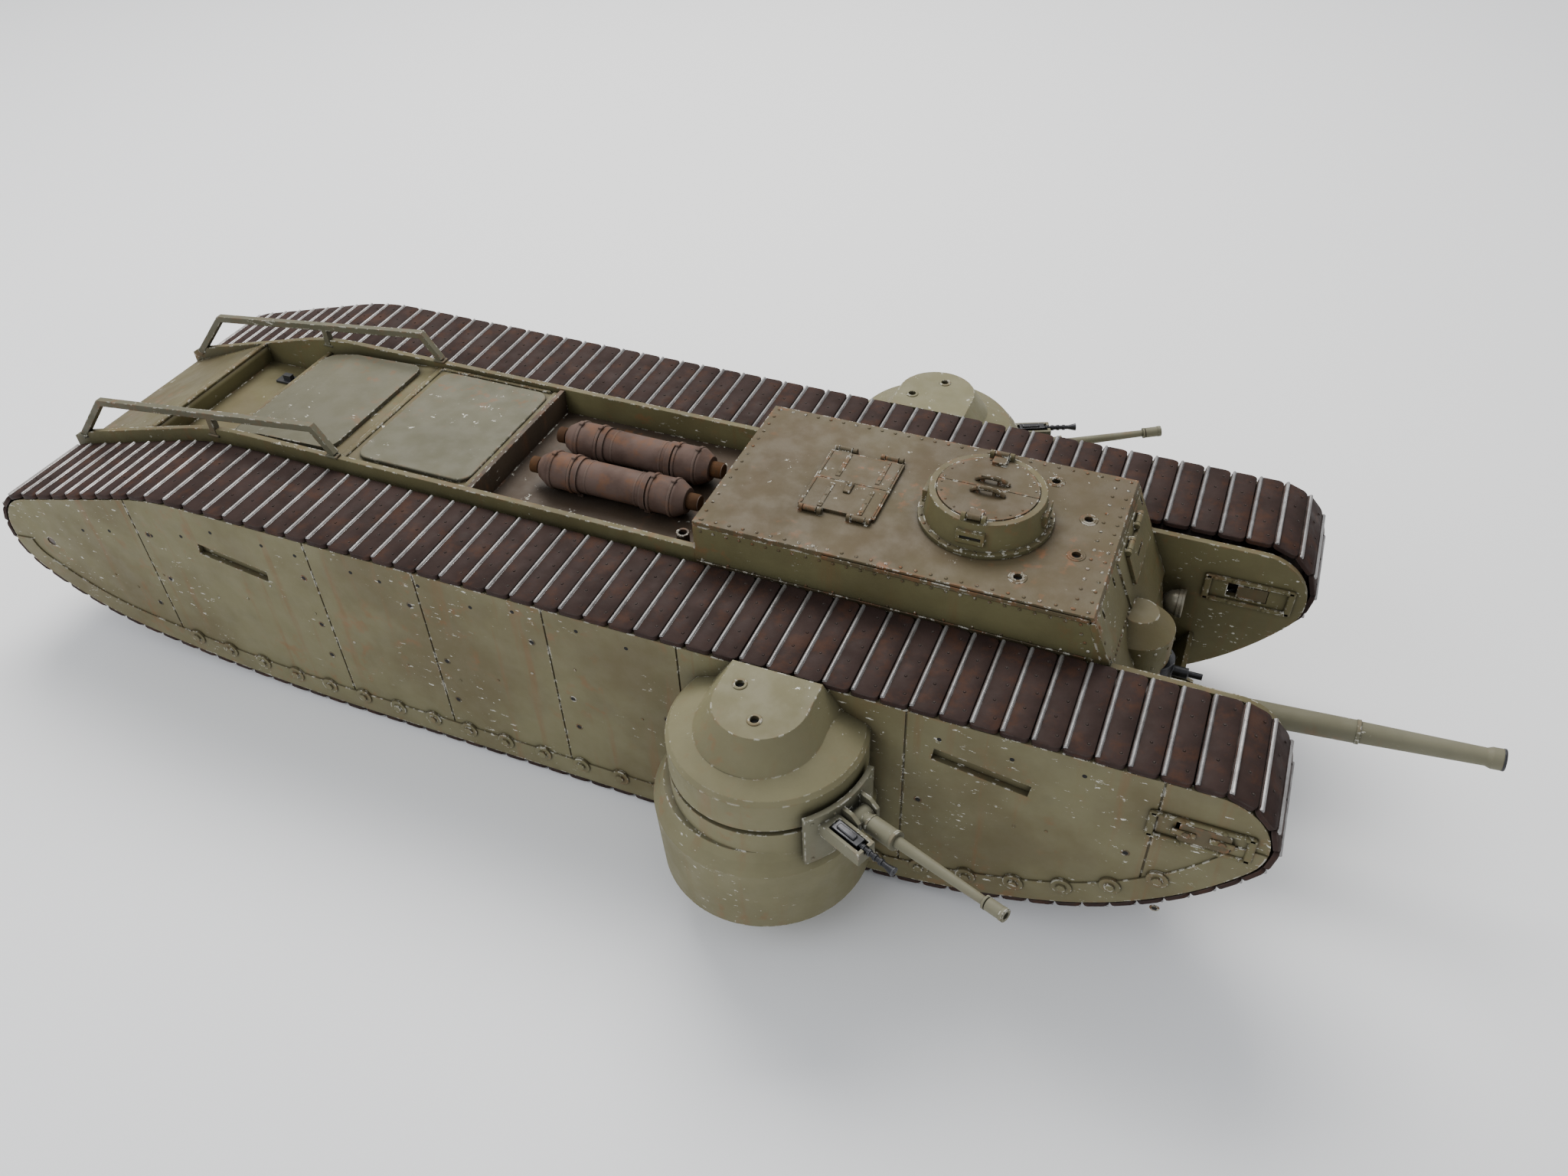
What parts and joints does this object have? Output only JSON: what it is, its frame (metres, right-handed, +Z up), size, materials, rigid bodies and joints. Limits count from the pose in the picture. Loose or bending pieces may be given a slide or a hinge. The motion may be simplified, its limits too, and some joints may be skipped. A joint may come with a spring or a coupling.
{
  "type": "radio-controlled tank model",
  "caption": "Radio-controlled model of a rhomboid heavy tank, with tracks around its side frames, gun sponsons, a cab with a cupola and hatches, a bow gun and rear deck exhausts.",
  "frame": {"origin": "on the ground, under the middle of the whole length, from the tail of the tracks to the bow gun's muzzle", "axes": "+X towards the tank's front, +Y towards its left side, +Z up"},
  "size_m": [0.7276, 0.3214, 0.1551],
  "materials": {
    "track_steel": "worn, dusty",
    "hull_paint": "matt, chipped, dusty",
    "deck_paint": "matt, dusty",
    "roof_paint": "matt, dusty",
    "exhaust_rust": "rusted",
    "gunmetal": "satin",
    "lamp_metal": "satin rim",
    "wheel_steel": "satin",
    "black_plastic": "matt",
    "board_green": "satin"
  },
  "bodies": {
    "chassis": {"track_belt_left": "track_steel", "track_belt_right": "track_steel", "inner_side_plate_left": "hull_paint", "inner_side_plate_right": "hull_paint", "outer_side_plate_left": "hull_paint", "outer_side_plate_right": "hull_paint", "track_skid_left": "wheel_steel", "track_skid_right": "wheel_steel", "roller_caps": "hull_paint", "hull_tub": "hull_paint", "rear_deck": "hull_paint", "engine_bay": "hull_paint", "deck_cover_front": "deck_paint", "deck_cover_rear": "deck_paint", "deck_rail_left": "deck_paint", "deck_rail_right": "deck_paint", "silencer_left": "exhaust_rust", "silencer_right": "exhaust_rust", "silencer_straps": "exhaust_rust", "cab_body": "hull_paint", "cab_roof": "roof_paint", "front_plate": "hull_paint", "cupola_ring": "hull_paint", "headlamp_left": "lamp_metal", "headlamp_right": "lamp_metal", "sponson_base_left": "hull_paint", "sponson_base_right": "hull_paint", "sponson_roof_left": "hull_paint", "sponson_roof_right": "hull_paint", "gear_motor_left": "black_plastic", "gear_motor_right": "black_plastic", "battery_pack": "black_plastic", "receiver_board": "board_green"},
    "power_switch": {"power_switch": "black_plastic"},
    "driver_visor": {"driver_visor": "hull_paint"},
    "bow_gun_mount": {"bow_gun_mount": "hull_paint"},
    "bow_gun": {"bow_gun": "hull_paint"},
    "bow_mg": {"bow_mg": "gunmetal"},
    "drive_sprocket_left": {"drive_sprocket_left": "wheel_steel"},
    "idler_tensioner_left": {"idler_tensioner_left": "hull_paint"},
    "front_idler_left": {"front_idler_left": "wheel_steel"},
    "road_roller_1_left": {"road_roller_1_left": "wheel_steel"},
    "road_roller_2_left": {"road_roller_2_left": "wheel_steel"},
    "road_roller_3_left": {"road_roller_3_left": "wheel_steel"},
    "cupola_hatch_left": {"cupola_hatch_left": "roof_paint"},
    "roof_hatch_left": {"roof_hatch_left": "roof_paint"},
    "gun_shield_left": {"gun_shield_left": "hull_paint", "side_mg_left": "gunmetal"},
    "side_gun_left": {"side_gun_left": "hull_paint"},
    "drive_sprocket_right": {"drive_sprocket_right": "wheel_steel"},
    "idler_tensioner_right": {"idler_tensioner_right": "hull_paint"},
    "front_idler_right": {"front_idler_right": "wheel_steel"},
    "road_roller_1_right": {"road_roller_1_right": "wheel_steel"},
    "road_roller_2_right": {"road_roller_2_right": "wheel_steel"},
    "road_roller_3_right": {"road_roller_3_right": "wheel_steel"},
    "cupola_hatch_right": {"cupola_hatch_right": "roof_paint"},
    "roof_hatch_right": {"roof_hatch_right": "roof_paint"},
    "gun_shield_right": {"gun_shield_right": "hull_paint", "side_mg_right": "gunmetal"},
    "side_gun_right": {"side_gun_right": "hull_paint"}
  },
  "joints": [
    {"name": "sprocket_spin_left", "type": "hinge", "parent": "chassis", "child": "drive_sprocket_left", "pos_m": [-0.33321, 0.074, 0.06188], "axis": [0, 1, 0], "continuous": true},
    {"name": "tensioner_slide_left", "type": "slide", "parent": "chassis", "child": "idler_tensioner_left", "axis": [1, 0, 0], "range_m": [-0.004, 0]},
    {"name": "idler_spin_left", "type": "hinge", "parent": "idler_tensioner_left", "child": "front_idler_left", "pos_m": [0.2541, 0.074, 0.09045], "axis": [0, 1, 0], "continuous": true},
    {"name": "roller_1_spin_left", "type": "hinge", "parent": "chassis", "child": "road_roller_1_left", "pos_m": [-0.14692, 0.074, 0.01455], "axis": [0, 1, 0], "continuous": true},
    {"name": "roller_2_spin_left", "type": "hinge", "parent": "chassis", "child": "road_roller_2_left", "pos_m": [-0.04192, 0.074, 0.01455], "axis": [0, 1, 0], "continuous": true},
    {"name": "roller_3_spin_left", "type": "hinge", "parent": "chassis", "child": "road_roller_3_left", "pos_m": [0.06308, 0.074, 0.01455], "axis": [0, 1, 0], "continuous": true},
    {"name": "cupola_hatch_swing_left", "type": "hinge", "parent": "chassis", "child": "cupola_hatch_left", "pos_m": [0.13948, 0.0228, 0.1536], "axis": [-1, 0, 0], "range_deg": [0, 110]},
    {"name": "roof_hatch_swing_left", "type": "hinge", "parent": "chassis", "child": "roof_hatch_left", "pos_m": [0.07898, 0.023, 0.1386], "axis": [-1, 0, 0], "range_deg": [0, 110]},
    {"name": "side_gun_traverse_left", "type": "hinge", "parent": "chassis", "child": "gun_shield_left", "pos_m": [0.08148, 0.112, 0.083], "axis": [0, 0, 1], "range_deg": [-12, 85]},
    {"name": "side_gun_elevation_left", "type": "hinge", "parent": "gun_shield_left", "child": "side_gun_left", "pos_m": [0.13048, 0.13023, 0.083], "axis": [0.4019, -0.9157, 0], "range_deg": [-6, 10]},
    {"name": "sprocket_spin_right", "type": "hinge", "parent": "chassis", "child": "drive_sprocket_right", "pos_m": [-0.33321, -0.074, 0.06188], "axis": [0, 1, 0], "continuous": true},
    {"name": "tensioner_slide_right", "type": "slide", "parent": "chassis", "child": "idler_tensioner_right", "axis": [1, 0, 0], "range_m": [-0.004, 0]},
    {"name": "idler_spin_right", "type": "hinge", "parent": "idler_tensioner_right", "child": "front_idler_right", "pos_m": [0.2541, -0.074, 0.09045], "axis": [0, 1, 0], "continuous": true},
    {"name": "roller_1_spin_right", "type": "hinge", "parent": "chassis", "child": "road_roller_1_right", "pos_m": [-0.14692, -0.074, 0.01455], "axis": [0, 1, 0], "continuous": true},
    {"name": "roller_2_spin_right", "type": "hinge", "parent": "chassis", "child": "road_roller_2_right", "pos_m": [-0.04192, -0.074, 0.01455], "axis": [0, 1, 0], "continuous": true},
    {"name": "roller_3_spin_right", "type": "hinge", "parent": "chassis", "child": "road_roller_3_right", "pos_m": [0.06308, -0.074, 0.01455], "axis": [0, 1, 0], "continuous": true},
    {"name": "cupola_hatch_swing_right", "type": "hinge", "parent": "chassis", "child": "cupola_hatch_right", "pos_m": [0.13948, -0.0228, 0.1536], "axis": [1, 0, 0], "range_deg": [0, 110]},
    {"name": "roof_hatch_swing_right", "type": "hinge", "parent": "chassis", "child": "roof_hatch_right", "pos_m": [0.07898, -0.023, 0.1386], "axis": [1, 0, 0], "range_deg": [0, 110]},
    {"name": "side_gun_traverse_right", "type": "hinge", "parent": "chassis", "child": "gun_shield_right", "pos_m": [0.08148, -0.112, 0.083], "axis": [0, 0, 1], "range_deg": [-85, 12]},
    {"name": "side_gun_elevation_right", "type": "hinge", "parent": "gun_shield_right", "child": "side_gun_right", "pos_m": [0.13048, -0.13023, 0.083], "axis": [-0.4019, -0.9157, 0], "range_deg": [-6, 10]},
    {"name": "power_switch_slide", "type": "slide", "parent": "chassis", "child": "power_switch", "axis": [1, 0, 0], "range_m": [-0.002, 0.002]},
    {"name": "visor_swing", "type": "hinge", "parent": "chassis", "child": "driver_visor", "pos_m": [0.20043, 0.0175, 0.13162], "axis": [0, -1, 0], "range_deg": [0, 80]},
    {"name": "bow_gun_traverse", "type": "hinge", "parent": "chassis", "child": "bow_gun_mount", "pos_m": [0.21648, 0, 0.0599], "axis": [0, 0, 1], "range_deg": [-15, 15]},
    {"name": "bow_gun_elevation", "type": "hinge", "parent": "bow_gun_mount", "child": "bow_gun", "pos_m": [0.23388, 0, 0.0599], "axis": [0, -1, 0], "range_deg": [-8, 12]},
    {"name": "bow_mg_swivel", "type": "hinge", "parent": "chassis", "child": "bow_mg", "pos_m": [0.22048, -0.008, 0.083], "axis": [0, 0, 1], "range_deg": [-22, 22]}
  ],
  "couplings": [
    {"joint": "idler_spin_left", "follows": "sprocket_spin_left", "ratio": 1.1944},
    {"joint": "idler_spin_right", "follows": "sprocket_spin_right", "ratio": 1.1944}
  ]
}
